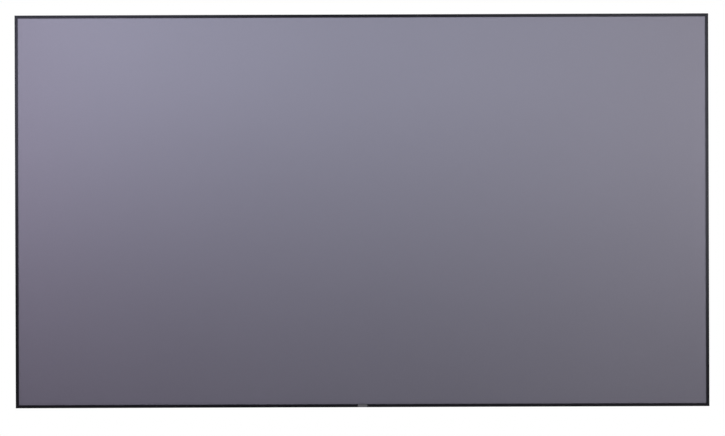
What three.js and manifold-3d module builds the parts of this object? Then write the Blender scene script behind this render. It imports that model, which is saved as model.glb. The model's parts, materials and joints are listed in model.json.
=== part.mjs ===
/**
 * Fixed frame projector screen, 100 inch diagonal, 16:9, with a slim black edge.
 *
 * A stiff grey optical sheet is pulled flat over a frame of aluminium rails. Cloth hems on the
 * sheet's four edges wrap round the rails to the back, where each holds a steel rod in a sewn
 * sleeve. Coil springs run from the rods to a tongue on the rails' inner edge. Thin trim snaps over
 * the rails' outer edge and covers the hems, so only the sheet and a narrow black line show in front.
 *
 * Millimetres. X runs to the right as seen from the front, Y runs back to the wall, Z is up.
 * The origin is the centre of the overall box.
 */
import * as THREE from "three";
import { mergeVertices } from "three/addons/utils/BufferGeometryUtils.js";
import Module from "manifold-3d";

const wasm = await Module();
wasm.setup();

// Picture
const pictureWidth = 2214;
const pictureHeight = 1245;
const edgeWidth = 10;

// Edge trim
const trimWall = 1.5;
const trimRounding = 0.8;
const trimLipRounding = 0.4;
const trimRibReach = 5;
const trimRibThickness = 1.4;
const trimClearance = 0.3;
const trimCover = 1.5;

// Optical sheet and its hems
const sheetThickness = 0.8;
const sheetGap = 0.2;
const sheetInset = 5.5;
const hemThickness = 0.5;
const hemOverlap = 5.5;
const hemClearance = 0.2;
const hemSetback = 20;
const hemWindow = 12;

// Frame rail
const railWidth = 44;
const railDepth = 19.8;
const railWall = 1.8;
const noseRadius = 2.3;
const noseWidth = 5.5;
const faceDrop = 3;
const heelRadius = 2;
const tongueReach = 6;
const tongueThickness = 1.8;
const jointGap = 0.2;
const mitreGap = 0.2;

// Slot in the rail's back
const slotInset = 16.5;
const slotWidth = 20;
const slotOpening = 10;
const slotDepth = 5.2;

// Joining plates and their grub screws
const plateThickness = 4.6;
const plateSidePlay = 0.5;
const bracketReach = 108;
const bracketScrewSpacing = 30;
const spliceLength = 160;
const spliceScrewSpacing = 36;
const plateEndMargin = 16;
const screwDiameter = 5;
const screwLength = 5.2;
const screwClearance = 0.3;
const socketAcrossFlats = 2.5;
const socketDepth = 2.4;

// Tension rods and springs
const rodDiameter = 5;
const rodClearance = 0.3;
const rodInset = 9.5;
const rodSetback = 18;
const springDiameter = 6;
const springWire = 1.2;
const springCoilLength = 22;
const springCoilStart = 6;
const springHookGap = 0.2;
const springHookReturn = 2.2;
const springsPerHalf = 9;
const springsPerSide = 10;
const springFromJoint = 60;
const springFromCorner = 67;

// Centre brace
const braceWidth = 30;
const braceDepth = 16;
const braceWall = 1.6;
const braceRounding = 1.5;
const capFlange = 15;
const capOverhang = 2;
const capPlugLength = 25;
const capClearance = 0.3;

// Wall brackets
const bracketSheet = 2.5;
const bracketWidth = 60;
const bracketDrop = 60;
const wallGap = 6.5;
const hangClearance = 0.1;
const lipClearance = 0.3;
const wallHoleDiameter = 6;
const wallHoleSpacing = 34;

// Blank badge plate on the bottom edge
const badgeWidth = 31;
const badgeHeight = 8.4;
const badgeThickness = 1;
const badgeRounding = 1.2;

// Overall size
const outerWidth = pictureWidth + 2 * edgeWidth;
const outerHeight = pictureHeight + 2 * edgeWidth;

/*
 * Every section is drawn with two distances: "in", measured from the outer edge towards the middle
 * of the screen, and "back", measured from the trim's front face towards the wall.
 */
const sheetFront = trimWall + sheetGap;
const sheetBack = sheetFront + sheetThickness;
const railFront = sheetBack + hemThickness + hemClearance;
const railBack = railFront + railDepth;
const railOuter = trimWall + trimClearance + hemThickness + hemClearance;
const railInner = railOuter + railWidth;
const hemBack = railBack + hemClearance + hemThickness;

const slotCentre = railInner - slotInset;
const slotFloor = railBack - railWall - slotDepth;
const plateWidth = slotWidth - 2 * plateSidePlay;
const plateFront = slotFloor + (slotDepth - plateThickness) / 2;

const rodRadius = rodDiameter / 2;
const rodIn = railOuter + rodInset;
const rodBack = hemBack + rodClearance + rodRadius;
const trimRibFront = hemBack + trimClearance;
const trimRibBack = trimRibFront + trimRibThickness;
const trimDepth = rodBack + rodRadius + trimCover;
const tongueTip = railInner + tongueReach;
const tongueFront = rodBack - tongueThickness / 2;
const tongueBack = rodBack + tongueThickness / 2;

const wallPlane = rodBack + springDiameter / 2 + wallGap;
const middleBack = (wallPlane - badgeThickness) / 2;

// Materials
const material = (color, roughness, metalness) =>
  new THREE.MeshStandardMaterial({ color, roughness, metalness });
const blackAnodised = material(0x1b1b1e, 0.42, 0.6);
const screenGrey = material(0x7b7988, 0.55, 0.0);
const hemCloth = material(0x17171a, 0.9, 0.0);
const springSteel = material(0xa9abb0, 0.35, 0.9);
const zincSteel = material(0xb4b6b8, 0.4, 0.85);
const screwSteel = material(0x2a2a2c, 0.4, 0.8);
const blackSteel = material(0x202022, 0.5, 0.4);
const blackPlastic = material(0x1c1c1d, 0.6, 0.0);
const badgeGrey = material(0x4c4b50, 0.35, 0.7);

// Points on an arc round [in, back], with angles in degrees from "in" towards "back".
function arc([centreIn, centreBack], radius, from, to, steps) {
  const points = [];
  for (let i = 0; i <= steps; i++) {
    const angle = THREE.MathUtils.degToRad(from + ((to - from) * i) / steps);
    points.push([centreIn + radius * Math.cos(angle), centreBack + radius * Math.sin(angle)]);
  }
  return points;
}

// A closed circle without its repeated last point.
const circle = (centre, radius, steps) => arc(centre, radius, 0, 360, steps).slice(0, -1);

// A rectangle with rounded corners, as points. It is centred on 0 one way and on "middle" the other.
function roundedRectangle(width, height, radius, middle) {
  const right = width / 2 - radius;
  const far = height / 2 - radius;
  return [
    ...arc([right, middle + far], radius, 0, 90, 3),
    ...arc([-right, middle + far], radius, 90, 180, 3),
    ...arc([-right, middle - far], radius, 180, 270, 3),
    ...arc([right, middle - far], radius, 270, 360, 3),
  ];
}

// A shape from a list of points, with optional holes.
function outline(points, holes = []) {
  const shape = new THREE.Shape(points.map(([a, b]) => new THREE.Vector2(a, b)));
  shape.holes = holes.map((hole) => new THREE.Path(hole.map(([a, b]) => new THREE.Vector2(a, b))));
  return shape;
}

// The even band of a given width along a path of [in, back] points, as one outline.
function band(path, width) {
  const left = [];
  const right = [];
  path.forEach((point, i) => {
    const before = new THREE.Vector2(...(path[i - 1] ?? point));
    const here = new THREE.Vector2(...point);
    const after = new THREE.Vector2(...(path[i + 1] ?? point));
    const arriving = here.clone().sub(before).normalize();
    const leaving = after.clone().sub(here).normalize();
    const heading = arriving.clone().add(leaving).normalize();
    const turn = Math.max(heading.dot(arriving), heading.dot(leaving));
    const side = new THREE.Vector2(-heading.y, heading.x).multiplyScalar(width / 2 / turn);
    left.push([here.x + side.x, here.y + side.y]);
    right.unshift([here.x - side.x, here.y - side.y]);
  });
  return [...left, ...right];
}

/*
 * A straight bar along X from a section of [in, back] points. Its outer edge lies on Z = 0 and "in"
 * points down. A mitred end is longest at the outer edge and is cut back as far as it is "in".
 */
function bar(points, start, end, { holes = [], mitreStart = false, mitreEnd = false } = {}) {
  const turned = ([inwards, back]) => [back, -inwards];
  const section = outline(points.map(turned), holes.map((hole) => hole.map(turned)));
  const length = end - start;
  const geometry = new THREE.ExtrudeGeometry(section, { depth: length, bevelEnabled: false });
  geometry.applyMatrix4(new THREE.Matrix4().set(0, 0, 1, 0, 1, 0, 0, 0, 0, 1, 0, 0, 0, 0, 0, 1));
  const position = geometry.getAttribute("position");
  for (let i = 0; i < position.count; i++) {
    const atEnd = position.getX(i) > length / 2;
    const inwards = -position.getZ(i);
    const cut = (atEnd ? -mitreEnd : mitreStart) * (inwards + mitreGap / 2);
    position.setX(i, (atEnd ? end : start) + cut);
  }
  geometry.computeVertexNormals();
  return geometry;
}

// A flat plate in the X-Z plane from [x, z] points, between two depths.
function plate(points, holes, front, back) {
  const turned = ([x, z]) => [z, x];
  const shape = outline(points.map(turned), holes.map((hole) => hole.map(turned)));
  const geometry = new THREE.ExtrudeGeometry(shape, { depth: back - front, bevelEnabled: false });
  geometry.applyMatrix4(new THREE.Matrix4().set(0, 1, 0, 0, 0, 0, 1, front, 1, 0, 0, 0, 0, 0, 0, 1));
  return geometry;
}

// A block between two corners given as [x, back, z].
function block([x0, y0, z0], [x1, y1, z1]) {
  const geometry = new THREE.BoxGeometry(x1 - x0, y1 - y0, z1 - z0);
  return geometry.translate((x0 + x1) / 2, (y0 + y1) / 2, (z0 + z1) / 2);
}

// A closed geometry as a solid that can be joined and cut.
function solid(geometry) {
  const bare = geometry.clone();
  bare.deleteAttribute("normal");
  bare.deleteAttribute("uv");
  const merged = mergeVertices(bare, 1e-4);
  const vertProperties = new Float32Array(merged.getAttribute("position").array);
  const triVerts = new Uint32Array(merged.getIndex().array);
  return new wasm.Manifold(new wasm.Mesh({ numProp: 3, vertProperties, triVerts }));
}

// The geometry of a solid, flat shaded.
function geometryOf(made) {
  const { vertProperties, triVerts } = made.getMesh();
  const indexed = new THREE.BufferGeometry();
  indexed.setAttribute("position", new THREE.BufferAttribute(vertProperties, 3));
  indexed.setIndex(new THREE.BufferAttribute(triVerts, 1));
  const geometry = indexed.toNonIndexed();
  geometry.computeVertexNormals();
  return geometry;
}

// All the solids of a list joined into one.
const joined = (solids) => solids.reduce((sum, next) => sum.add(next));

function addMesh(parent, name, geometry, finish) {
  const mesh = new THREE.Mesh(geometry, finish);
  mesh.name = name;
  parent.add(mesh);
  return mesh;
}

// Rail: a hollow extrusion with a nose that carries the sheet, a slotted back and a spring tongue.
const slotLeft = slotCentre - slotWidth / 2;
const slotRight = slotCentre + slotWidth / 2;
const openingLeft = slotCentre - slotOpening / 2;
const openingRight = slotCentre + slotOpening / 2;
const lipFront = railBack - railWall;
const chamberFront = railFront + faceDrop + railWall;
const chamberFloor = slotFloor - railWall;

const railSection = [
  ...arc([railOuter + noseRadius, railFront + noseRadius], noseRadius, 180, 270, 3),
  [railOuter + noseWidth, railFront],
  [railOuter + noseWidth + faceDrop, railFront + faceDrop],
  [railInner, railFront + faceDrop],
  [railInner, tongueFront],
  ...arc([tongueTip - tongueThickness / 2, rodBack], tongueThickness / 2, -90, 90, 4),
  [railInner - railWall, tongueBack],
  [railInner - railWall, railBack],
  [openingRight, railBack],
  [openingRight, lipFront],
  [slotRight, lipFront],
  [slotRight, slotFloor],
  [slotLeft, slotFloor],
  [slotLeft, lipFront],
  [openingLeft, lipFront],
  [openingLeft, railBack],
  ...arc([railOuter + heelRadius, railBack - heelRadius], heelRadius, 90, 180, 3),
];

const railChamber = [
  [railOuter + railWall, chamberFront],
  [railInner - railWall, chamberFront],
  [railInner - railWall, lipFront],
  [slotRight + railWall, lipFront],
  [slotRight + railWall, chamberFloor],
  [slotLeft - railWall, chamberFloor],
  [slotLeft - railWall, lipFront],
  [railOuter + railWall, lipFront],
];

// Trim: a front lip, a side wall as deep as the rods, and a rib that snaps behind the rail.
const trimSection = [
  ...arc([edgeWidth - trimLipRounding, trimLipRounding], trimLipRounding, 270, 360, 2),
  [edgeWidth, trimWall],
  [trimWall, trimWall],
  [trimWall, trimRibFront],
  [trimRibReach, trimRibFront],
  [trimRibReach, trimRibBack],
  [trimWall, trimRibBack],
  [trimWall, trimDepth],
  [trimLipRounding, trimDepth],
  [0, trimDepth - trimLipRounding],
  ...arc([trimRounding, trimRounding], trimRounding, 180, 270, 3),
];

// Hem: a strip of cloth from the sheet's edge round the rail, ending in a sleeve round the rod.
const sleeveInner = rodRadius + rodClearance;
const sleeveOuter = sleeveInner + hemThickness;
const hemOffset = hemClearance + hemThickness / 2;
const hemPath = [
  [sheetInset + hemOverlap, railFront - hemOffset],
  ...arc([railOuter + noseRadius, railFront + noseRadius], noseRadius + hemOffset, 270, 180, 3),
  ...arc([railOuter + heelRadius, railBack - heelRadius], heelRadius + hemOffset, 180, 90, 3),
  [rodIn, railBack + hemOffset],
];

function hem(length, springs) {
  const start = -length / 2 + hemSetback;
  const end = length / 2 - hemSetback;
  const strip = bar(band(hemPath, hemThickness), start, end);
  const holes = [circle([rodIn, rodBack], sleeveInner, 8)];
  const sleeve = bar(circle([rodIn, rodBack], sleeveOuter, 8), start, end, { holes });
  const windowDepth = sleeveOuter + hemThickness;
  const windows = springs.map((x) =>
    solid(
      block(
        [x - hemWindow / 2, rodBack - windowDepth, -rodIn - windowDepth],
        [x + hemWindow / 2, rodBack + windowDepth, -rodIn + windowDepth],
      ),
    ),
  );
  return geometryOf(solid(strip).add(solid(sleeve)).subtract(joined(windows)));
}

/*
 * Spring: hooked round the rod at one end and over the tongue at the other. The wire's path is
 * flat, and the close-wound coil is a plain cylinder round it.
 */
const hookRadius = rodRadius + springWire / 2 - springHookGap / 2;
const coilStart = rodIn + springCoilStart;
const coilEnd = coilStart + springCoilLength;
const tongueHookRadius = tongueThickness / 2 + springHookGap + springWire / 2;
const tongueHookCentre = tongueTip - tongueThickness / 2 + springHookGap;
const springPath = [
  ...arc([rodIn, rodBack], hookRadius, 225, 30, 3),
  [coilStart, rodBack],
  [coilEnd, rodBack],
  [coilEnd + springWire, rodBack + tongueHookRadius],
  ...arc([tongueHookCentre, rodBack], tongueHookRadius, 90, -90, 3),
  [tongueHookCentre - springHookReturn, rodBack - tongueHookRadius],
];

function spring(x) {
  const wire = bar(band(springPath, springWire), x - springWire / 2, x + springWire / 2);
  const coil = new THREE.CylinderGeometry(springDiameter / 2, springDiameter / 2, springCoilLength, 6);
  coil.rotateX(Math.PI / 2);
  coil.translate(x, rodBack, -(coilStart + coilEnd) / 2);
  return solid(wire).add(solid(coil));
}

// A rod with the springs that hook round it.
function rodWithSprings(start, end, springs) {
  const rod = bar(circle([rodIn, rodBack], rodRadius, 10), start, end);
  return geometryOf(joined([solid(rod), ...springs.map(spring)]));
}

// Grub screw with a hexagon socket, standing in a joining plate.
function grubScrew() {
  const radius = screwDiameter / 2;
  const body = new THREE.CylinderGeometry(radius, radius, screwLength, 12);
  const socketRadius = socketAcrossFlats / Math.sqrt(3);
  const socket = new THREE.CylinderGeometry(socketRadius, socketRadius, 2 * socketDepth, 6);
  socket.translate(0, screwLength / 2, 0);
  return geometryOf(solid(body).subtract(solid(socket)));
}

const screwHole = ([x, z]) => circle([x, z], screwDiameter / 2 + screwClearance, 12);
const screwMiddle = plateFront + plateThickness / 2 + screwClearance;

function addScrews(parent, name, places) {
  places.forEach(([x, z], i) => {
    const screw = addMesh(parent, `${name}_${i + 1}`, grubScrew(), screwSteel);
    screw.position.set(x, screwMiddle, z);
  });
}

// The four sides, each a group whose outer edge lies on its own X axis and whose inside is below it.
const screen = new THREE.Group();
screen.name = "fixed_frame_projector_screen";
screen.position.y = -middleBack;

function side(x, z, quarterTurns) {
  const group = new THREE.Group();
  group.position.set(x, 0, z);
  group.rotation.y = (quarterTurns * Math.PI) / 2;
  screen.add(group);
  return group;
}

const topSide = side(0, outerHeight / 2, 0);
const rightSide = side(outerWidth / 2, 0, 1);
const bottomSide = side(0, -outerHeight / 2, 2);
const leftSide = side(-outerWidth / 2, 0, 3);

// Where the springs stand along each side.
function evenly(first, last, count) {
  return Array.from({ length: count }, (_, i) => first + ((last - first) * i) / (count - 1));
}
const halfSprings = evenly(springFromJoint, outerWidth / 2 - springFromCorner, springsPerHalf);
const sideSprings = evenly(
  -outerHeight / 2 + springFromCorner,
  outerHeight / 2 - springFromCorner,
  springsPerSide,
);
const mirrored = (places) => places.map((x) => -x);

// Long sides: two halves that meet in the middle.
for (const [place, group, words] of [
  ["top", topSide, ["left", "right"]],
  ["bottom", bottomSide, ["right", "left"]],
]) {
  const halves = [
    [words[0], -outerWidth / 2, -jointGap / 2, { mitreStart: true }, mirrored(halfSprings)],
    [words[1], jointGap / 2, outerWidth / 2, { mitreEnd: true }, halfSprings],
  ];
  for (const [hand, start, end, mitre, springs] of halves) {
    const holes = [railChamber];
    addMesh(group, `${place}_rail_${hand}`, bar(railSection, start, end, { holes, ...mitre }), blackAnodised);
    addMesh(group, `${place}_trim_${hand}`, bar(trimSection, start, end, mitre), blackAnodised);
    const rodStart = mitre.mitreStart ? start + rodSetback : start;
    const rodEnd = mitre.mitreEnd ? end - rodSetback : end;
    const rod = rodWithSprings(rodStart, rodEnd, springs);
    addMesh(group, `${place}_rod_${hand}_with_springs`, rod, springSteel);
  }
  const springs = [...mirrored(halfSprings), ...halfSprings];
  addMesh(group, `${place}_hem`, hem(outerWidth, springs), hemCloth);
}

// Short sides: one length each.
for (const [place, group] of [
  ["left", leftSide],
  ["right", rightSide],
]) {
  const start = -outerHeight / 2;
  const end = outerHeight / 2;
  const mitre = { mitreStart: true, mitreEnd: true };
  const holes = [railChamber];
  addMesh(group, `${place}_rail`, bar(railSection, start, end, { holes, ...mitre }), blackAnodised);
  addMesh(group, `${place}_trim`, bar(trimSection, start, end, mitre), blackAnodised);
  const rod = rodWithSprings(start + rodSetback, end - rodSetback, sideSprings);
  addMesh(group, `${place}_rod_with_springs`, rod, springSteel);
  addMesh(group, `${place}_hem`, hem(outerHeight, sideSprings), hemCloth);
}

// Optical sheet
const sheet = block(
  [-outerWidth / 2 + sheetInset, sheetFront, -outerHeight / 2 + sheetInset],
  [outerWidth / 2 - sheetInset, sheetBack, outerHeight / 2 - sheetInset],
);
addMesh(screen, "screen_sheet", sheet, screenGrey);

// Corner brackets: L plates that slide into the slots of the two rails that meet.
const plateOuter = slotCentre - plateWidth / 2;
const plateInner = slotCentre + plateWidth / 2;
const bracketOutline = [
  [plateOuter, -plateOuter],
  [bracketReach, -plateOuter],
  [bracketReach, -plateInner],
  [plateInner, -plateInner],
  [plateInner, -bracketReach],
  [plateOuter, -bracketReach],
];
const lastScrew = bracketReach - plateEndMargin;
const firstScrew = lastScrew - bracketScrewSpacing;
const bracketScrews = [
  [firstScrew, -slotCentre],
  [lastScrew, -slotCentre],
  [slotCentre, -firstScrew],
  [slotCentre, -lastScrew],
];
for (const [place, x, z, quarterTurns] of [
  ["top_left", -outerWidth / 2, outerHeight / 2, 0],
  ["top_right", outerWidth / 2, outerHeight / 2, 1],
  ["bottom_right", outerWidth / 2, -outerHeight / 2, 2],
  ["bottom_left", -outerWidth / 2, -outerHeight / 2, 3],
]) {
  const corner = side(x, z, quarterTurns);
  const holes = bracketScrews.map(screwHole);
  const bracket = plate(bracketOutline, holes, plateFront, plateFront + plateThickness);
  addMesh(corner, `corner_bracket_${place}`, bracket, zincSteel);
  addScrews(corner, `corner_screw_${place}`, bracketScrews);
}

// Splice bars: join the two halves of each long rail.
const spliceOutline = [
  [-spliceLength / 2, -plateOuter],
  [spliceLength / 2, -plateOuter],
  [spliceLength / 2, -plateInner],
  [-spliceLength / 2, -plateInner],
];
const outerSpliceScrew = spliceLength / 2 - plateEndMargin;
const innerSpliceScrew = outerSpliceScrew - spliceScrewSpacing;
const spliceScrews = [-outerSpliceScrew, -innerSpliceScrew, innerSpliceScrew, outerSpliceScrew].map((x) => [
  x,
  -slotCentre,
]);
for (const [place, group] of [
  ["top", topSide],
  ["bottom", bottomSide],
]) {
  const splice = plate(spliceOutline, spliceScrews.map(screwHole), plateFront, plateFront + plateThickness);
  addMesh(group, `${place}_splice_bar`, splice, zincSteel);
  addScrews(group, `${place}_splice_screw`, spliceScrews);
}

// Centre brace: a tube that keeps the long rails apart, with a moulded cap on each end.
const capStart = railInner + capClearance;
const capShoulder = capStart + capFlange;
const braceEnd = capShoulder + capClearance;
const braceMiddle = rodBack - braceDepth / 2 + capOverhang;
const braceFront = braceMiddle - braceDepth / 2;
const braceBack = braceMiddle + braceDepth / 2;

const braceLength = outerHeight - 2 * braceEnd;
const braceBore = roundedRectangle(
  braceWidth - 2 * braceWall,
  braceDepth - 2 * braceWall,
  braceRounding / 2,
  braceMiddle,
);
const braceOutline = outline(
  roundedRectangle(braceWidth, braceDepth, braceRounding, braceMiddle),
  [braceBore],
);
const brace = new THREE.ExtrudeGeometry(braceOutline, { depth: braceLength, bevelEnabled: false });
brace.translate(0, 0, -braceLength / 2);
addMesh(screen, "centre_brace", brace, blackAnodised);

function braceCap() {
  const halfWidth = braceWidth / 2 + capOverhang;
  const front = braceFront - capOverhang;
  const flange = block(
    [-halfWidth, front, -capShoulder],
    [halfWidth, braceBack + capOverhang, -capStart],
  );
  const groove = block(
    [-halfWidth - 1, tongueFront - capClearance, -tongueTip - capClearance],
    [halfWidth + 1, tongueBack + capClearance, -capStart + 1],
  );
  const plugX = braceWidth / 2 - braceWall - capClearance;
  const plugInset = braceWall + capClearance;
  const plug = block(
    [-plugX, braceFront + plugInset, -capShoulder - capPlugLength],
    [plugX, braceBack - plugInset, -capShoulder],
  );
  return geometryOf(solid(flange).add(solid(plug)).subtract(solid(groove)));
}
addMesh(topSide, "brace_cap_top", braceCap(), blackPlastic);
addMesh(bottomSide, "brace_cap_bottom", braceCap(), blackPlastic);

/*
 * Wall brackets: bent steel, screwed to the wall. The top rails' tongue stands on the bracket's
 * shelf, between its upturned lip and the wall.
 */
const shelfTop = tongueTip + hangClearance;
const shelfUnder = shelfTop + bracketSheet;
const lipBack = tongueFront - lipClearance;
const lipFace = lipBack - bracketSheet;
const bendRadius = bracketSheet / 2;
const wallBracketSection = [
  [railInner + lipClearance, lipFace],
  [railInner + lipClearance, lipBack],
  [shelfTop, lipBack],
  [shelfTop, wallPlane - bendRadius],
  [shelfTop + bendRadius, wallPlane],
  [shelfTop + bracketDrop, wallPlane],
  [shelfTop + bracketDrop, wallPlane - bracketSheet],
  [shelfUnder, wallPlane - bracketSheet],
  [shelfUnder, lipFace + bendRadius],
  [shelfUnder - bendRadius, lipFace],
];

function wallBracket(x) {
  const bent = bar(wallBracketSection, x - bracketWidth / 2, x + bracketWidth / 2);
  const holes = [-wallHoleSpacing / 2, wallHoleSpacing / 2].map((offset) => {
    const radius = wallHoleDiameter / 2;
    const drill = new THREE.CylinderGeometry(radius, radius, 4 * bracketSheet, 16);
    drill.translate(x + offset, wallPlane, -(shelfUnder + bracketDrop / 2));
    return solid(drill);
  });
  return geometryOf(solid(bent).subtract(joined(holes)));
}

// Each wall bracket hangs midway between the two springs nearest the middle of its rail.
const middleSpring = Math.floor(springsPerHalf / 2);
const wallBracketAt = (halfSprings[middleSpring] + halfSprings[middleSpring + 1]) / 2;
addMesh(topSide, "wall_bracket_left", wallBracket(-wallBracketAt), blackSteel);
addMesh(topSide, "wall_bracket_right", wallBracket(wallBracketAt), blackSteel);

// Blank badge plate, on the joint of the bottom trim
const badgeMiddle = -outerHeight / 2 + edgeWidth / 2;
const badgeOutline = roundedRectangle(badgeWidth, badgeHeight, badgeRounding, badgeMiddle);
addMesh(screen, "badge_plate", plate(badgeOutline, [], -badgeThickness, 0), badgeGrey);

export default screen;
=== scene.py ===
"""The looks of a 100 inch fixed frame projector screen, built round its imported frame.

Metres. X runs to the right as seen from the front, Y runs back to the wall, and Z is up.
"""
import json
import math

import bpy
import numpy as np
from mathutils import Matrix, Vector, noise


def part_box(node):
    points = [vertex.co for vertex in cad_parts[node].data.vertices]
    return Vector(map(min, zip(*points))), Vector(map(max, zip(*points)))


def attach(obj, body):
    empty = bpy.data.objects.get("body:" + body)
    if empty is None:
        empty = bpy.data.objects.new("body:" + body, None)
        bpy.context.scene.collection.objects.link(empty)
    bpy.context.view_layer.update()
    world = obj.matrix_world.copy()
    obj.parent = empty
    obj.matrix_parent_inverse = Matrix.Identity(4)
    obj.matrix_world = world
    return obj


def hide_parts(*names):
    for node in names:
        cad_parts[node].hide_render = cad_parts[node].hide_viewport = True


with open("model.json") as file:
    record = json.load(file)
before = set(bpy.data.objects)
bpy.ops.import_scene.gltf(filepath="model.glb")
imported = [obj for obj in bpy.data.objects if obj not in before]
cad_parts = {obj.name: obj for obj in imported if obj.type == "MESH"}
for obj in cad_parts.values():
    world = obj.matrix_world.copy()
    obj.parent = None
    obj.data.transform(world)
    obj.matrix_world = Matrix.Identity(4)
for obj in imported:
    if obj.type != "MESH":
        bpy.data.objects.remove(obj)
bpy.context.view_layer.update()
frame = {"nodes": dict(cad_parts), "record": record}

MM = 0.001
BODY = "root"
X_AXIS, Z_AXIS = 0, 2
nodes = frame["nodes"]
slot_of = {part["node"]: part["material_slot"] for part in frame["record"]["subparts"]}

# The frame's outside, from its trim. "In" is measured from the trim's outer edge towards the middle
# of the screen, and "back" from its front face.
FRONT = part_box("left_trim")[0].y
HALF_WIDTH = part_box("right_trim")[1].x
HALF_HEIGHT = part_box("top_trim_left")[1].z

# Each side's middle as x and z, and the quarter turns that bring the top side there
SIDES = {
    "top": (0, HALF_HEIGHT, 0),
    "right": (HALF_WIDTH, 0, 1),
    "bottom": (0, -HALF_HEIGHT, 2),
    "left": (-HALF_WIDTH, 0, 3),
}

# Rail section. Points are [in, back].
rail_low, rail_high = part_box("left_rail")
TUBE_DEPTH = 19.8 * MM
RAIL_OUTER = rail_low.x + HALF_WIDTH
RAIL_FRONT = rail_low.y - FRONT
RAIL_BACK = RAIL_FRONT + TUBE_DEPTH
TONGUE_TIP = rail_high.x + HALF_WIDTH
TONGUE_THICKNESS = 1.8 * MM
NOSE_RADIUS = 2.3 * MM
HEEL_RADIUS = 2.0 * MM
NOSE_CENTRE = (RAIL_OUTER + NOSE_RADIUS, RAIL_FRONT + NOSE_RADIUS)
HEEL_CENTRE = (RAIL_OUTER + HEEL_RADIUS, RAIL_BACK - HEEL_RADIUS)

# Rods
ROD_RADIUS = 2.5 * MM
ROD_FROM_RAIL = 9.5 * MM
ROD_CENTRE = (RAIL_OUTER + ROD_FROM_RAIL, rail_high.y - FRONT - TONGUE_THICKNESS / 2)
ROD_SETBACK = 18 * MM
ROD_CHAMFER = 0.5 * MM
ROD_SIDES = 24
JOINT_GAP = 0.2 * MM

# Springs. Hooks turn from one angle to another, in degrees. Leads are [in, back] from the coil's
# end and the spring's axis.
SPRINGS_PER_HALF = 9
SPRINGS_PER_SIDE = 10
SPRING_FROM_JOINT = 60 * MM
SPRING_FROM_CORNER = 67 * MM
WIRE_RADIUS = 0.6 * MM
WIRE_SIDES = 8
COIL_RADIUS = 2.4 * MM
COIL_FROM_ROD = 6.2 * MM
COIL_LENGTH = 21.6 * MM
COIL_START = ROD_CENTRE[0] + COIL_FROM_ROD
COIL_END = COIL_START + COIL_LENGTH
COIL_TURNS = 13
COIL_STEPS = 12
HOOK_GAP = 0.2 * MM
ROD_HOOK = (225, 25)
ROD_HOOK_STEPS = 14
TONGUE_HOOK = (90, -90)
TONGUE_HOOK_STEPS = 8
TONGUE_HOOK_RADIUS = TONGUE_THICKNESS / 2 + HOOK_GAP + WIRE_RADIUS
TONGUE_HOOK_RETURN = 2.2 * MM
LEAD_IN = [(-2.6 * MM, 0.6 * MM), (-1.4 * MM, 0.0)]
LEAD_OUT = [
    (1.4 * MM, 0.0),
    (2.4 * MM, 0.2 * MM),
    (3.4 * MM, TONGUE_HOOK_RADIUS),
    (5.0 * MM, TONGUE_HOOK_RADIUS),
]

# Hems. A window is the gap in a sleeve where a spring hooks round the rod.
CLOTH = 0.45 * MM
HEM_OFFSET = 0.45 * MM
HEM_WELD = 11 * MM
HEM_SETBACK = 20 * MM
HEM_STEP = 7 * MM
BEND_STEPS = 5
SLEEVE_RADIUS = 3.05 * MM
SLEEVE_ARC = (-90, 195)
SLEEVE_STEPS = 19
SEAM_FOLD = 1.2 * MM
SEAM_FOLD_STEPS = 4
SEAM_END = 5.6 * MM
SEAM_LIFT = 0.55 * MM
WINDOW_HALF = 6 * MM
WINDOW_IN = 8.2 * MM

# Creases of a sleeve: their share of its radius, their cells to the metre, how far from the rod they
# reach, and how far apart the four sides lie in their noise
CREASE_SHARE = 0.045
CREASE_CELLS = (90, 900, 500)
CREASE_REACH = 1.02 * SLEEVE_RADIUS
CREASE_SEED_STEP = 7.3

# Pull of a sleeve towards the nearest spring
PULL = 0.12 * MM
PULL_REACH = 9 * MM

# Thread. A stitch is [share of its length, lift, thickness], the last two in thread radii.
THREAD_RADIUS = 0.22 * MM
THREAD_SIDES = 5
STITCH_IN = 6.6 * MM
STITCH_PITCH = 3.4 * MM
STITCH_LENGTH = 2.7 * MM
STITCH_START = 0.15
STITCH_SHAPE = [(0.0, -0.3, 0.35), (0.14, 0.6, 0.8), (0.5, 1.0, 1.0), (0.86, 0.6, 0.8), (1.0, -0.3, 0.35)]
OVERLOCK_RADIUS = 0.37 * MM
OVERLOCK_SIDES = 6

# Sheet. Its face waves by up to a quarter of a millimetre, and not at all at its edges.
sheet_low, sheet_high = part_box("screen_sheet")
SHEET_STEP = 18 * MM
SHEET_WAVE = 0.12 * MM
SHEET_WAVE_CELLS = (2.2, 3.1)
SHEET_EDGE_CLIMB = 4


# Geometry

def arc(centre, radius, start, end, steps):
    """Points [in, back] round a centre, with angles in degrees from "in" towards "back"."""
    angles = np.radians(np.linspace(start, end, steps + 1))
    return [(centre[0] + radius * math.cos(a), centre[1] + radius * math.sin(a)) for a in angles]


def on_side(side, points):
    """Points [along, in, back] of a side, in the frame's axes."""
    x, z, turns = SIDES[side]
    place = Matrix.Translation((x, FRONT, z)) @ Matrix.Rotation(turns * math.pi / 2, 4, "Y")
    return [place @ Vector((along, back, -inwards)) for along, inwards, back in points]


def is_long(side):
    return side in ("top", "bottom")


def add_piece(name, vertices, faces, materials):
    """A smooth shaded mesh that rides on the frame."""
    mesh = bpy.data.meshes.new(name)
    mesh.from_pydata([tuple(vertex) for vertex in vertices], [], faces)
    for material in materials:
        mesh.materials.append(material)
    mesh.shade_smooth()
    piece = bpy.data.objects.new(name, mesh)
    bpy.context.scene.collection.objects.link(piece)
    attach(piece, BODY)
    return piece


def keep_faces_flat(piece):
    """Normals that follow the large faces, so that the shading doesn't bend towards an edge."""
    piece.modifiers.new("normals", "WEIGHTED_NORMAL").weight = 100


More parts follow.
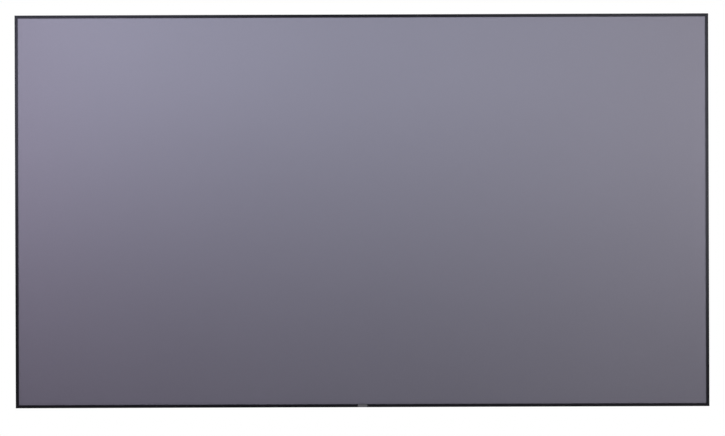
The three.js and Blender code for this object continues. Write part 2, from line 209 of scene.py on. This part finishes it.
def joined(parts):
    """One list of vertices and one of faces from several of each."""
    vertices, faces = [], []
    for more_vertices, more_faces in parts:
        first = len(vertices)
        vertices.extend(more_vertices)
        faces.extend([tuple(first + i for i in face) for face in more_faces])
    return vertices, faces


def tube(path, radii, sides):
    """A closed tube along a path of points, with a radius for each point."""
    points = [Vector(point) for point in path]
    vertices, faces = [], []
    across = None
    for i, point in enumerate(points):
        heading = (points[min(i + 1, len(points) - 1)] - points[max(i - 1, 0)]).normalized()
        if across is None:
            across = heading.orthogonal()
        across = (across - heading * across.dot(heading)).normalized()
        up = heading.cross(across)
        for k in range(sides):
            angle = 2 * math.pi * k / sides
            vertices.append(point + (across * math.cos(angle) + up * math.sin(angle)) * radii[i])
    for i in range(len(points) - 1):
        for k in range(sides):
            here, there = i * sides, (i + 1) * sides
            after = (k + 1) % sides
            faces.append((here + k, here + after, there + after, there + k))
    last = (len(points) - 1) * sides
    faces.append(tuple(reversed(range(sides))))
    faces.append(tuple(last + k for k in range(sides)))
    return vertices, faces


def rounded(path, passes=2):
    """A path with its corners cut off, the ends kept."""
    for _ in range(passes):
        cut = [path[0]]
        for a, b in zip(path, path[1:]):
            cut.append(tuple(0.75 * p + 0.25 * q for p, q in zip(a, b)))
            cut.append(tuple(0.25 * p + 0.75 * q for p, q in zip(a, b)))
        path = cut + [path[-1]]
    return path


# Materials

# A wave texture of this scale has one wave to the metre
WAVE_SCALE = math.pi / 10
WHITE = (1, 1, 1, 1)


def add_node(tree, kind, inputs=None, **settings):
    """A shader node with its settings, and its inputs as values or as the sockets that feed them."""
    made = tree.nodes.new(kind)
    for key, value in settings.items():
        setattr(made, key, value)
    for key, value in (inputs or {}).items():
        if isinstance(value, bpy.types.NodeSocket):
            tree.links.new(value, made.inputs[key])
        else:
            made.inputs[key].default_value = value
    return made


def calculated(tree, operation, first, second=0.0):
    """The result of a sum or comparison of two numbers or sockets."""
    made = add_node(tree, "ShaderNodeMath", {0: first, 1: second}, operation=operation)
    return made.outputs[0]


def even(cells):
    return (float(cells),) * 3


def lines_along(axis, cells, cells_along=6.0):
    """Cells to the metre that make fine lines along an axis."""
    stretched = [float(cells)] * 3
    stretched[axis] = cells_along
    return tuple(stretched)


def grain(tree, cells, detail=3.0):
    """Noise from 0 to 1 with so many cells to the metre along each axis."""
    place = add_node(tree, "ShaderNodeTexCoord").outputs["Object"]
    stretched = add_node(tree, "ShaderNodeMapping", {"Vector": place, "Scale": cells}).outputs["Vector"]
    made = add_node(tree, "ShaderNodeTexNoise", {"Vector": stretched, "Scale": 1.0, "Detail": detail})
    return made.outputs["Fac"]


def waves(tree, coordinates, direction, waves_to_the_metre):
    """Even waves from 0 to 1 along an axis."""
    place = add_node(tree, "ShaderNodeTexCoord").outputs[coordinates]
    made = add_node(
        tree,
        "ShaderNodeTexWave",
        {"Vector": place, "Scale": WAVE_SCALE * waves_to_the_metre, "Distortion": 0.0},
        wave_type="BANDS",
        bands_direction=direction,
        wave_profile="SIN",
    )
    return made.outputs["Fac"]


def spread(tree, value, low, high):
    """The middle of a noise's range, stretched from low to high."""
    limits = {"Value": value, "From Min": 0.3, "From Max": 0.7, "To Min": low, "To Max": high}
    return add_node(tree, "ShaderNodeMapRange", limits).outputs["Result"]


def blend_colours(tree, factor, first, second, blend_type="MIX"):
    """A colour between two, which are RGB values or sockets."""
    made = add_node(tree, "ShaderNodeMix", data_type="RGBA", blend_type=blend_type)
    for key, value in (("Factor", factor), (6, first), (7, second)):
        if isinstance(value, bpy.types.NodeSocket):
            tree.links.new(value, made.inputs[key])
        else:
            made.inputs[key].default_value = (*value, 1) if isinstance(value, tuple) else value
    return made.outputs[2]


def drifting(tree, colour, noise_value, tones):
    """A colour that drifts between two shades of itself."""
    low, high = (tuple(channel * tone for channel in colour) for tone in tones)
    return blend_colours(tree, spread(tree, noise_value, 0.0, 1.0), low, high)


def add_material(name, colour, roughness, metallic=0.0, **sockets):
    """A plain Principled material and its node tree. Sockets are named with _ for a space."""
    material = bpy.data.materials.new(name)
    material.use_nodes = True
    tree = material.node_tree
    surface = tree.nodes["Principled BSDF"]
    surface.inputs["Base Color"].default_value = (*colour, 1)
    surface.inputs["Roughness"].default_value = roughness
    surface.inputs["Metallic"].default_value = metallic
    for key, value in sockets.items():
        surface.inputs[key.replace("_", " ")].default_value = value
    return material, tree, surface


def add_bump(tree, surface, height, depth):
    """Raises the surface by up to depth metres where height is 1."""
    made = add_node(tree, "ShaderNodeBump", {"Height": height, "Strength": 1.0, "Distance": depth})
    tree.links.new(made.outputs["Normal"], surface.inputs["Normal"])


def textured(name, colour, roughness, cloud, tones, texture, gloss_spread, depth, metallic=0.0, **sockets):
    """A material whose tone drifts with one noise, and whose gloss and height follow another."""
    material, tree, surface = add_material(name, colour, roughness, metallic, **sockets)
    tree.links.new(drifting(tree, colour, grain(tree, cloud), tones), surface.inputs["Base Color"])
    fine = grain(tree, texture, detail=4.0)
    rough = spread(tree, fine, roughness - gloss_spread, roughness + gloss_spread)
    tree.links.new(rough, surface.inputs["Roughness"])
    add_bump(tree, surface, fine, depth)
    return material


def saw_ends(material, axis, bare=(0.62, 0.62, 0.63), facing_limit=0.55):
    """Bare metal on the faces that look along an axis, as a saw leaves them."""
    tree = material.node_tree
    surface = tree.nodes["Principled BSDF"]
    along = [0.0, 0.0, 0.0]
    along[axis] = 1.0
    normal = add_node(
        tree,
        "ShaderNodeVectorTransform",
        {"Vector": add_node(tree, "ShaderNodeNewGeometry").outputs["Normal"]},
        vector_type="NORMAL",
        convert_from="WORLD",
        convert_to="OBJECT",
    ).outputs[0]
    facing = add_node(tree, "ShaderNodeVectorMath", {0: normal, 1: along}, operation="DOT_PRODUCT")
    size = calculated(tree, "ABSOLUTE", facing.outputs["Value"])
    sawn = calculated(tree, "GREATER_THAN", size, facing_limit)
    tone = surface.inputs["Base Color"].links[0].from_socket
    tree.links.new(blend_colours(tree, sawn, tone, bare), surface.inputs["Base Color"])
    tree.links.new(sawn, surface.inputs["Metallic"])
    return material


def screen_front():
    """The optical face: purple grey, satin, with fine level ribs and a slight speckle."""
    colour = (0.205, 0.197, 0.240)
    material, tree, surface = add_material("screen_front", colour, 0.55, Specular_IOR_Level=0.05)
    speckle = grain(tree, even(900), detail=2.0)
    cloud = grain(tree, (1.1, 1.1, 1.6), detail=2.0)
    speckled = drifting(tree, colour, speckle, tones=(0.95, 1.05))
    broad = drifting(tree, (1.0, 1.0, 1.0), cloud, tones=(0.985, 1.015))
    tone = blend_colours(tree, 1.0, speckled, broad, "MULTIPLY")
    tree.links.new(tone, surface.inputs["Base Color"])
    ribs = waves(tree, "Object", "Z", waves_to_the_metre=1000)
    add_bump(tree, surface, ribs, depth=0.02 * MM)
    return material


def woven(name, colour, threads_to_the_metre):
    """Plain weave polyester, from the cloth's own flat coordinates."""
    material, tree, surface = add_material(
        name, colour, 0.85, Specular_IOR_Level=0.3, Sheen_Weight=0.25, Sheen_Roughness=0.4
    )
    warp, weft = (waves(tree, "UV", direction, threads_to_the_metre) for direction in ("X", "Y"))
    weave = calculated(tree, "MULTIPLY", warp, weft)
    dark, light = (tuple(channel * tone for channel in colour) for tone in (0.6, 1.5))
    tree.links.new(blend_colours(tree, weave, dark, light), surface.inputs["Base Color"])
    add_bump(tree, surface, weave, depth=0.08 * MM)
    return material


def anodised(word, axis):
    """Black anodised trim and rail with die lines along an axis. The rail's sawn ends are bare."""
    die_lines = lines_along(axis, 2600)
    trim_colour = (0.0090, 0.0087, 0.0112)
    rail_colour = (0.020, 0.020, 0.022)
    look = {
        "gloss_spread": 0.05,
        "cloud": even(14),
        "tones": (0.82, 1.2),
        "texture": die_lines,
        "depth": 0.006 * MM,
    }
    trim = textured(f"trim_{word}", trim_colour, roughness=0.34, Specular_IOR_Level=0.05, **look)
    rail = textured(f"rail_{word}", rail_colour, roughness=0.42, **look)
    return {"trim": trim, "frame": saw_ends(rail, axis)}


anodised_finish = {X_AXIS: anodised("level", X_AXIS), Z_AXIS: anodised("upright", Z_AXIS)}
spring_wire = textured(
    "spring_wire", (0.52, 0.52, 0.53), roughness=0.28, gloss_spread=0.07, metallic=1.0,
    cloud=even(900), tones=(0.88, 1.12), texture=even(900), depth=0.004 * MM,
)
drawn_steel = textured(
    "drawn_steel", (0.46, 0.46, 0.47), roughness=0.32, gloss_spread=0.07, metallic=1.0,
    cloud=even(60), tones=(0.88, 1.12), texture=(40, 2200, 40), depth=0.004 * MM,
)
zinc_plate = textured(
    "zinc_plate", (0.36, 0.37, 0.38), roughness=0.42, gloss_spread=0.08, metallic=1.0,
    cloud=even(220), tones=(0.78, 1.22), texture=even(220), depth=0.015 * MM,
)
black_oxide = textured(
    "black_oxide", (0.045, 0.045, 0.047), roughness=0.38, gloss_spread=0.07, metallic=1.0,
    cloud=even(1500), tones=(0.88, 1.12), texture=even(1500), depth=0.004 * MM,
)
badge_grey = textured(
    "badge_grey", (0.080, 0.078, 0.080), roughness=0.42, gloss_spread=0.07, metallic=1.0,
    cloud=even(60), tones=(0.9, 1.1), texture=(8, 2600, 2600), depth=0.004 * MM,
)
powder_coat = textured(
    "powder_coat", (0.017, 0.017, 0.018), roughness=0.5, gloss_spread=0.07, Specular_IOR_Level=0.4,
    cloud=even(30), tones=(0.85, 1.2), texture=even(1400), depth=0.03 * MM,
)
moulded_nylon = textured(
    "moulded_nylon", (0.015, 0.015, 0.016), roughness=0.55, gloss_spread=0.07, Specular_IOR_Level=0.4,
    cloud=even(30), tones=(0.85, 1.2), texture=even(2200), depth=0.02 * MM,
)
screen_back = textured(
    "screen_back", (0.012, 0.012, 0.013), roughness=0.62, gloss_spread=0.07, Specular_IOR_Level=0.3,
    cloud=even(5), tones=(0.85, 1.25), texture=even(260), depth=0.03 * MM,
)
thread = textured(
    "thread", (0.035, 0.035, 0.036), roughness=0.8, gloss_spread=0.05, Specular_IOR_Level=0.3,
    cloud=even(300), tones=(0.7, 1.4), texture=even(5000), depth=0.05 * MM,
)
hem_cloth = woven("hem_cloth", (0.014, 0.014, 0.015), threads_to_the_metre=1700)

# Frame nodes that stay as modelled, by slot: the width of their bevel, and their finish where it
# isn't anodised
BEVEL_ANGLE = math.radians(40)
WELD_DISTANCE = 0.005 * MM
KEPT_NODES = {
    "frame": (0.25 * MM, None),
    "trim": (0.2 * MM, None),
    "zinc_steel": (0.35 * MM, zinc_plate),
    "grub_screws": (0.15 * MM, black_oxide),
    "wall_steel": (0.35 * MM, powder_coat),
    "caps": (0.6 * MM, moulded_nylon),
    "badge": (0.25 * MM, badge_grey),
}


def dress_kept_nodes():
    """Gives the frame's own nodes their bevels and finishes."""
    for name, part in nodes.items():
        slot = slot_of[name]
        if slot not in KEPT_NODES:
            continue
        bevel_width, finish = KEPT_NODES[slot]
        axis = Z_AXIS if name.startswith(("left", "right", "centre")) else X_AXIS
        part.data.shade_smooth()
        part.material_slots[0].material = finish or anodised_finish[axis][slot]
        weld = part.modifiers.new("weld", "WELD")
        weld.merge_threshold = WELD_DISTANCE
        bevel = part.modifiers.new("bevel", "BEVEL")
        bevel.width = bevel_width
        bevel.segments = 2
        bevel.limit_method = "ANGLE"
        bevel.angle_limit = BEVEL_ANGLE
        keep_faces_flat(part)


# Sheet

def grid_faces(rows, columns, left_out=lambda row, column: False):
    """Faces of a grid of points, row by row, without the ones left out."""
    faces = []
    for row in range(rows - 1):
        for column in range(columns - 1):
            if not left_out(row, column):
                first = row * columns + column
                faces.append((first, first + 1, first + columns + 1, first + columns))
    return faces


def thicken(piece, thickness, offset):
    """Gives a face a thickness, with the second material on what that adds where there is one."""
    made = piece.modifiers.new("thickness", "SOLIDIFY")
    made.thickness = thickness
    made.offset = offset
    made.material_offset = made.material_offset_rim = len(piece.data.materials) - 1
    keep_faces_flat(piece)


def make_sheet():
    """The sheet's front face as a fine grid, thickened towards the back."""
    width, height = sheet_high.x - sheet_low.x, sheet_high.z - sheet_low.z
    columns, rows = round(width / SHEET_STEP), round(height / SHEET_STEP)
    vertices = []
    for across in np.linspace(0, 1, rows + 1):
        for along in np.linspace(0, 1, columns + 1):
            x, z = sheet_low.x + width * along, sheet_low.z + height * across
            from_edge = math.sin(math.pi * along) * math.sin(math.pi * across)
            wave = noise.noise(Vector((SHEET_WAVE_CELLS[0] * x, 0.0, SHEET_WAVE_CELLS[1] * z)))
            depth = SHEET_WAVE * (1 + wave) * min(1.0, SHEET_EDGE_CLIMB * from_edge)
            vertices.append((x, sheet_low.y + depth, z))
    faces = grid_faces(rows + 1, columns + 1)
    sheet = add_piece("optical_sheet", vertices, faces, [screen_front(), screen_back])
    thicken(sheet, sheet_high.y - sheet_low.y, -1)
    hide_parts("screen_sheet")


# Hems

def hem_section():
    """The hem's middle line: from its weld, round the rail and the rod, back to its seam."""
    strip_back = RAIL_BACK + HEM_OFFSET
    seam_back = strip_back + SEAM_LIFT
    fold_in = ROD_CENTRE[0] + SLEEVE_RADIUS * math.cos(math.radians(SLEEVE_ARC[1])) - SEAM_FOLD
    return [
        (HEM_WELD, RAIL_FRONT - HEM_OFFSET),
        *arc(NOSE_CENTRE, NOSE_RADIUS + HEM_OFFSET, 270, 180, BEND_STEPS),
        *arc(HEEL_CENTRE, HEEL_RADIUS + HEM_OFFSET, 180, 90, BEND_STEPS),
        (WINDOW_IN, strip_back),
        *arc(ROD_CENTRE, SLEEVE_RADIUS, *SLEEVE_ARC, SLEEVE_STEPS),
        *arc((fold_in, seam_back + SEAM_FOLD), SEAM_FOLD, 0, -90, SEAM_FOLD_STEPS),
        (SEAM_END, seam_back),
    ]


HEM_SECTION = hem_section()

# Which of the section's points a window starts and ends at: after the two bends, and in the fold
WINDOW_START = 1 + 2 * (BEND_STEPS + 1)
WINDOW_END = len(HEM_SECTION) - 3


def spring_places(side):
    """Where the springs stand along a side."""
    if is_long(side):
        half = np.linspace(SPRING_FROM_JOINT, HALF_WIDTH - SPRING_FROM_CORNER, SPRINGS_PER_HALF)
        return [*(-half[::-1]), *half]
    reach = HALF_HEIGHT - SPRING_FROM_CORNER
    return list(np.linspace(-reach, reach, SPRINGS_PER_SIDE))


def hem_stations(springs, half_length):
    """Where the hem's points stand along a side, with a row on each edge of its windows."""
    edges = sorted(spring + way * WINDOW_HALF for spring in springs for way in (-1, 1))
    marks = [-half_length, *edges, half_length]
    stations = []
    for a, b in zip(marks, marks[1:]):
        stations.extend(np.linspace(a, b, max(2, round((b - a) / HEM_STEP)) + 1)[:-1])
    return [*stations, half_length]


def creased(point, along, springs, seed):
    """A point of the section, which on the sleeve is creased and pulled towards the nearest spring."""
    inwards, back = point
    from_rod = Vector((inwards - ROD_CENTRE[0], back - ROD_CENTRE[1]))
    if from_rod.length > CREASE_REACH:
        return point
    nearest = min(abs(along - spring) for spring in springs) - WINDOW_HALF
    pull = PULL * math.exp(-max(nearest, 0) / PULL_REACH)
    cell = (along * CREASE_CELLS[0], from_rod.x * CREASE_CELLS[1], seed + back * CREASE_CELLS[2])
    swell = 1 + CREASE_SHARE * noise.noise(Vector(cell))
    return (ROD_CENTRE[0] + from_rod.x * swell + pull, ROD_CENTRE[1] + from_rod.y * swell)


def hem_thread(springs, half_length, seed):
    """A row of stitches along the seam, and an overlocked edge round each window."""
    seam_face = HEM_SECTION[-1][1] + CLOTH / 2
    radii = [THREAD_RADIUS * size for *_, size in STITCH_SHAPE]
    parts = []
    for i in range(int(2 * half_length / STITCH_PITCH)):
        start = -half_length + STITCH_PITCH * (i + STITCH_START)
        path = [
            (start + STITCH_LENGTH * share, STITCH_IN, seam_face + THREAD_RADIUS * lift)
            for share, lift, _ in STITCH_SHAPE
        ]
        parts.append(tube(path, radii, THREAD_SIDES))
    rim = HEM_SECTION[WINDOW_START:WINDOW_END + 1]
    for spring in springs:
        for way in (-1, 1):
            along = spring + way * WINDOW_HALF
            path = [(along, *creased(point, along, springs, seed)) for point in rim]
            parts.append(tube(path, [OVERLOCK_RADIUS] * len(path), OVERLOCK_SIDES))
    return joined(parts)


def make_hem(side, seed):
    """One side's hem, with its thread."""
    half_length = (HALF_WIDTH if is_long(side) else HALF_HEIGHT) - HEM_SETBACK
    springs = spring_places(side)
    stations = hem_stations(springs, half_length)
    across = len(HEM_SECTION)

    def in_window(row, column):
        middle = (stations[row] + stations[row + 1]) / 2
        return WINDOW_START <= column < WINDOW_END and any(abs(middle - s) < WINDOW_HALF for s in springs)

    points = [(along, *creased(point, along, springs, seed)) for along in stations for point in HEM_SECTION]
    faces = [face[::-1] for face in grid_faces(len(stations), across, in_window)]
    hem = add_piece(f"{side}_cloth_hem", on_side(side, points), faces, [hem_cloth])

    steps = [math.dist(a, b) for a, b in zip(HEM_SECTION, HEM_SECTION[1:])]
    run = np.concatenate([[0], np.cumsum(steps)])
    flat = hem.data.uv_layers.new(name="flat")
    for loop in hem.data.loops:
        station, step = divmod(loop.vertex_index, across)
        flat.data[loop.index].uv = (stations[station], run[step])
    thicken(hem, CLOTH, 0)
    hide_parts(f"{side}_hem")

    points, faces = hem_thread(springs, half_length, seed)
    stitches = add_piece(f"{side}_hem_stitches", on_side(side, points), faces, [thread])


# Rods and springs

def rod(start, end):
    """A round bar with chamfered ends, as [along, in, back] points and faces."""
    ends = [start, start + ROD_CHAMFER, (start + end) / 2, end - ROD_CHAMFER, end]
    radii = [ROD_RADIUS - ROD_CHAMFER, ROD_RADIUS, ROD_RADIUS, ROD_RADIUS, ROD_RADIUS - ROD_CHAMFER]
    return tube([(x, *ROD_CENTRE) for x in ends], radii, ROD_SIDES)


def coil():
    """The coil's middle line. Half a turn at each end winds in to the axis."""
    steps = COIL_TURNS * COIL_STEPS
    ease = COIL_STEPS // 2
    points = []
    for i in range(-ease, steps + ease + 1):
        open_share = min(1.0, (i + ease) / ease, (steps + ease - i) / ease)
        radius = COIL_RADIUS * math.sin(math.pi / 2 * open_share)
        angle = 2 * math.pi * i / COIL_STEPS
        inwards = COIL_START + (COIL_END - COIL_START) * i / steps
        points.append((radius * math.sin(angle), inwards, ROD_CENTRE[1] + radius * math.cos(angle)))
    return points


def spring_path():
    """The wire's middle line: hooked round the rod, coiled, and hooked over the rail's tongue."""
    axis_back = ROD_CENTRE[1]
    rod_hook = arc(ROD_CENTRE, ROD_RADIUS + WIRE_RADIUS, *ROD_HOOK, ROD_HOOK_STEPS)
    lead_in = rounded([rod_hook[-1], *((COIL_START + i, axis_back + b) for i, b in LEAD_IN)])
    lead_out = rounded([(COIL_END + i, axis_back + b) for i, b in LEAD_OUT])
    centre_in = TONGUE_TIP - TONGUE_THICKNESS / 2 + HOOK_GAP
    tongue_hook = arc((centre_in, axis_back), TONGUE_HOOK_RADIUS, *TONGUE_HOOK, TONGUE_HOOK_STEPS)
    tail = (centre_in - TONGUE_HOOK_RETURN, axis_back - TONGUE_HOOK_RADIUS)
    before = [(0.0, *point) for point in [*rod_hook, *lead_in[1:]]]
    after = [(0.0, *point) for point in [*lead_out, *tongue_hook, tail]]
    return [*before, *coil(), *after]


def make_rods():
    """The rods, each with the springs that hook round it."""
    long_end = HALF_WIDTH - ROD_SETBACK
    short_end = HALF_HEIGHT - ROD_SETBACK
    middle = JOINT_GAP / 2
    runs = [
        ("top", "top_rod_left", -long_end, -middle),
        ("top", "top_rod_right", middle, long_end),
        ("bottom", "bottom_rod_right", -long_end, -middle),
        ("bottom", "bottom_rod_left", middle, long_end),
        ("left", "left_rod", -short_end, short_end),
        ("right", "right_rod", -short_end, short_end),
    ]
    path = spring_path()
    wire, wire_faces = tube(path, [WIRE_RADIUS] * len(path), WIRE_SIDES)
    for side, name, start, end in runs:
        bar, bar_faces = rod(start, end)
        places = [place for place in spring_places(side) if start < place < end]
        coils, coil_faces = joined(
            [([(x + place, y, z) for x, y, z in wire], wire_faces) for place in places]
        )
        springs_name = name.replace("rod", "springs")
        for piece in (
            add_piece(name, on_side(side, bar), bar_faces, [drawn_steel]),
            add_piece(springs_name, on_side(side, coils), coil_faces, [spring_wire]),
        ):
            keep_faces_flat(piece)
            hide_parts(f"{name}_with_springs")


dress_kept_nodes()
make_sheet()
for number, side in enumerate(SIDES):
    make_hem(side, CREASE_SEED_STEP * number)
make_rods()


# Stage, light and camera

# Floor: how far it is under the screen, how far it reaches, where it fades to white, and how
# much of its pale colour is its own
FLOOR_DROP = 0.95
FLOOR_REACH = 40.0
FLOOR_FADE = (1.6, 5.0)
FLOOR_GLOW = 0.6

# What the walls of the white room give where they aren't seen
AMBIENT = (0.95, 0.95, 1.0, 1)
AMBIENT_STRENGTH = 0.06

# Lamps: name, place, target, size, watts and colour. The sheens only show in reflections, where
# they bring out the edge of the screen, and the others only light what is dull.
LAMPS = [
    ("key", (-0.12, -0.67, 0.60), (0, 0, 0.2), (2.4, 1.0), 12.9, (0.94, 1.0, 1.07)),
    ("right_fill", (1.98, -1.06, 0.49), (0.4, 0, 0), (1.2, 1.2), 20.0, (1.03, 1.0, 0.97)),
    ("left_fill", (-1.86, -0.87, 0.36), (-0.93, 0, -0.3), (1.0, 1.0), 9.4, (1.17, 1.0, 1.2)),
    ("left_sheen", (-1.30, -2.0, 0.52), (-1.0, 0, 0.4), (0.95, 0.8), 38.0, (1.0, 1.0, 1.3)),
    ("right_sheen", (1.25, -2.0, 0.28), (1.0, 0, 0.2), (1.0, 1.25), 52.0, (1.0, 1.0, 1.15)),
    ("behind", (0.6, 2.6, 1.6), (0, 0, 0), (2.4, 1.2), 60.0, (1.0, 1.0, 1.0)),
]

# The picture, and where the screen lies in it, in pixels
PICTURE = (725, 436)
SCREEN_WIDTH = 693.8
SCREEN_CENTRE = (362.0, 210.8)
LEAN = math.radians(0.19)


def add_lamp(name, place, target, size, power, colour):
    """A soft rectangular lamp that shines on a point."""
    data = bpy.data.lights.new(name, "AREA")
    data.shape = "RECTANGLE"
    data.size, data.size_y = size
    data.energy = power
    data.color = colour
    lamp = bpy.data.objects.new(name, data)
    lamp.location = place
    lamp.rotation_euler = (Vector(target) - Vector(place)).to_track_quat("-Z", "Y").to_euler()
    lamp.visible_camera = False
    lamp.visible_glossy = name.endswith("sheen")
    lamp.visible_diffuse = not lamp.visible_glossy
    bpy.context.scene.collection.objects.link(lamp)


def white_where_seen(tree, output, seen, unseen):
    """Mixes two shaders by whether a ray comes from the camera, a gloss or a clear surface."""
    path = add_node(tree, "ShaderNodeLightPath").outputs
    sight = calculated(tree, "MAXIMUM", path["Is Camera Ray"], path["Is Glossy Ray"])
    sight = calculated(tree, "MAXIMUM", sight, path["Is Transmission Ray"])
    mixed = add_node(tree, "ShaderNodeMixShader", {0: sight, 1: unseen, 2: seen})
    tree.links.new(mixed.outputs[0], output)


def make_world():
    """A white room that gives only a faint light of its own."""
    world = bpy.data.worlds.new("white_room")
    world.use_nodes = True
    tree = world.node_tree
    seen = add_node(tree, "ShaderNodeBackground", {"Color": WHITE, "Strength": 1.0})
    unseen = tree.nodes["Background"]
    unseen.inputs["Color"].default_value = AMBIENT
    unseen.inputs["Strength"].default_value = AMBIENT_STRENGTH
    output = tree.nodes["World Output"].inputs["Surface"]
    white_where_seen(tree, output, seen.outputs[0], unseen.outputs[0])
    bpy.context.scene.world = world


def make_floor():
    """A pale floor that fades into the white background away from the screen."""
    material, tree, surface = add_material("floor", (0.82, 0.82, 0.82), 0.8, Specular_IOR_Level=0.1)
    place = add_node(tree, "ShaderNodeTexCoord").outputs["Object"]
    distance = add_node(tree, "ShaderNodeVectorMath", {0: place}, operation="LENGTH").outputs["Value"]
    limits = {"Value": distance, "From Min": FLOOR_FADE[0], "From Max": FLOOR_FADE[1]}
    fade = add_node(tree, "ShaderNodeMapRange", limits, interpolation_type="SMOOTHSTEP").outputs["Result"]
    glow = add_node(tree, "ShaderNodeEmission", {"Color": WHITE, "Strength": 1.0}).outputs[0]
    plain = surface.outputs[0]
    pale = add_node(tree, "ShaderNodeMixShader", {0: FLOOR_GLOW, 1: plain, 2: glow}).outputs[0]
    faded = add_node(tree, "ShaderNodeMixShader", {0: fade, 1: pale, 2: glow}).outputs[0]
    white_where_seen(tree, tree.nodes["Material Output"].inputs["Surface"], faded, plain)
    mesh = bpy.data.meshes.new("floor")
    corners = [(x * FLOOR_REACH, y * FLOOR_REACH, 0) for x, y in ((-1, -1), (1, -1), (1, 1), (-1, 1))]
    mesh.from_pydata(corners, [], [(0, 1, 2, 3)])
    mesh.materials.append(material)
    floor = bpy.data.objects.new("floor", mesh)
    floor.location.z = -HALF_HEIGHT - FLOOR_DROP
    bpy.context.scene.collection.objects.link(floor)


def make_camera():
    """A long lens straight in front, so that the screen falls where it does in the picture."""
    data = bpy.data.cameras.new("camera")
    data.lens = 100
    data.sensor_width = 36
    data.clip_end = 100
    pixel = 2 * HALF_WIDTH / SCREEN_WIDTH
    camera = bpy.data.objects.new("camera", data)
    camera.location = (
        (PICTURE[0] / 2 - SCREEN_CENTRE[0]) * pixel,
        FRONT - PICTURE[0] * pixel * data.lens / data.sensor_width,
        (SCREEN_CENTRE[1] - PICTURE[1] / 2) * pixel,
    )
    camera.rotation_euler = (math.radians(90), LEAN, 0)
    bpy.context.scene.collection.objects.link(camera)
    bpy.context.scene.camera = camera


bpy.context.scene.view_settings.view_transform = "Standard"
make_world()
make_floor()
for lamp in LAMPS:
    add_lamp(*lamp)
make_camera()
